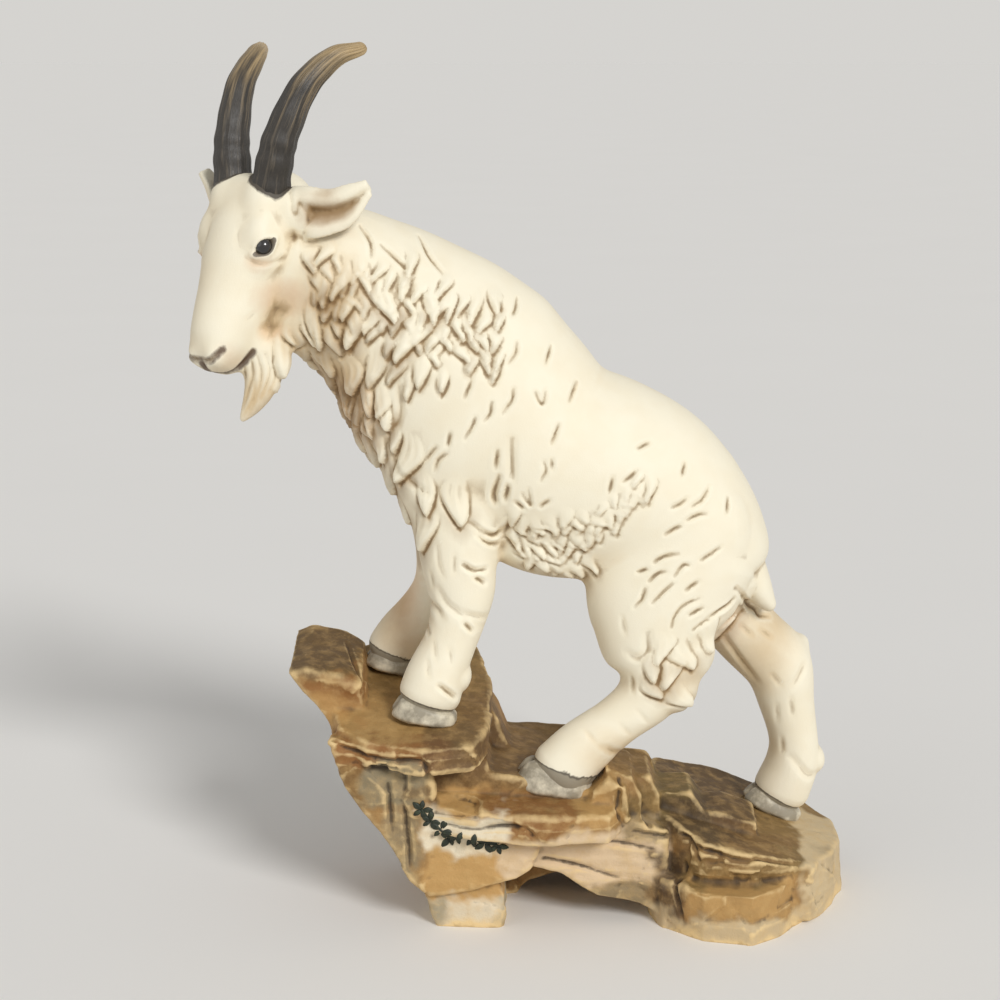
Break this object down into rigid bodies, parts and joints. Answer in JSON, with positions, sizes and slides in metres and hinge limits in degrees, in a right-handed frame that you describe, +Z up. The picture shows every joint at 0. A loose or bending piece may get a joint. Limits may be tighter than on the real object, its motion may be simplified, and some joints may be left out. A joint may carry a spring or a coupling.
{
  "type": "goat figurine",
  "caption": "Slip-cast bisque figure of a long-haired mountain goat climbing a stepped rock, with swept horns, beard and a flat-ground foot.",
  "frame": {"origin": "middle of the bounding box's footprint, at the table", "axes": "+Z up; the goat faces -X with its head turned to -Y, the side seen in the picture; +Y points away from the viewer"},
  "size_m": [0.1916, 0.0754, 0.2497],
  "materials": {
    "bisque": null
  },
  "bodies": {
    "root": {"goat_figurine": "bisque"}
  },
  "joints": []
}
